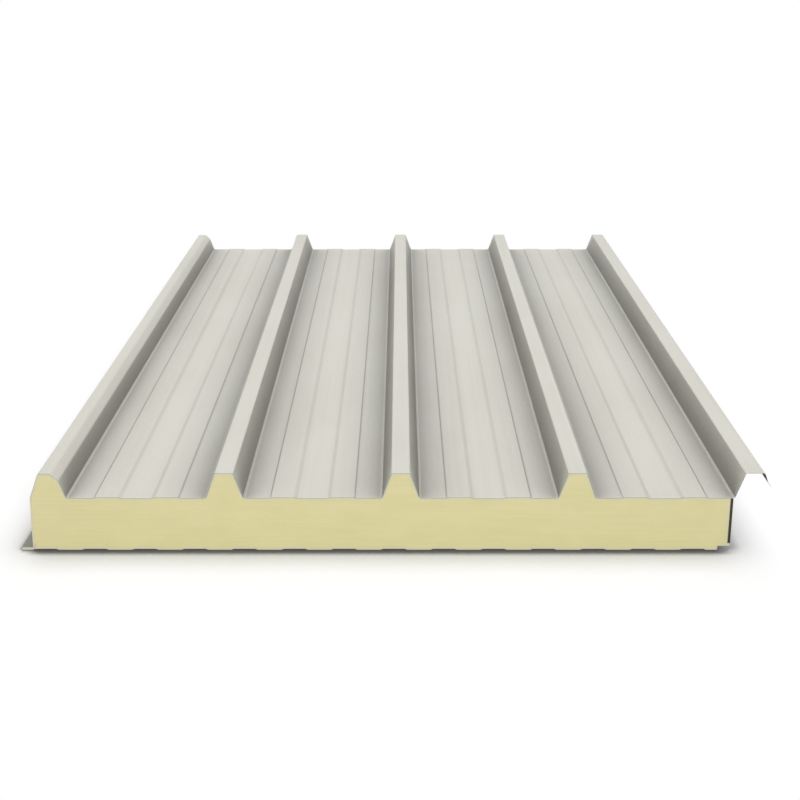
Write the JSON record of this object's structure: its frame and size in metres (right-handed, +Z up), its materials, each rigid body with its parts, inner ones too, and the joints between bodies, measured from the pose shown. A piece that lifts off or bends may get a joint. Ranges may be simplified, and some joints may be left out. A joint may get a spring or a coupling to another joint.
{
  "type": "insulated roof sandwich panel",
  "caption": "Insulated roof panel: trapezoidal painted steel sheet over a rigid foam core and a lightly ribbed steel liner, with lapping edge ribs and a tongue-and-slot edge.",
  "frame": {"origin": "middle of the panel's plan outline, on the plane that the liner's low bands rest on", "axes": "+Z up, from the liner to the ribs; +Y along the ribs; +X across the panel, from the underlap rib and tongue to the overlap rib and slot"},
  "size_m": [1.0676, 1.67, 0.118],
  "materials": {
    "outer_paint": "off-white polyester coil coating, satin",
    "foam": "cut rigid closed-cell foam, pale yellow",
    "liner_paint": "off-white polyester coil coating, satin",
    "gasket_rubber": "dark foam rubber, matt"
  },
  "bodies": {
    "root": {"outer_sheet": "outer_paint", "foam_core": "foam", "liner_sheet": "liner_paint", "side_gasket": "gasket_rubber"}
  },
  "joints": []
}
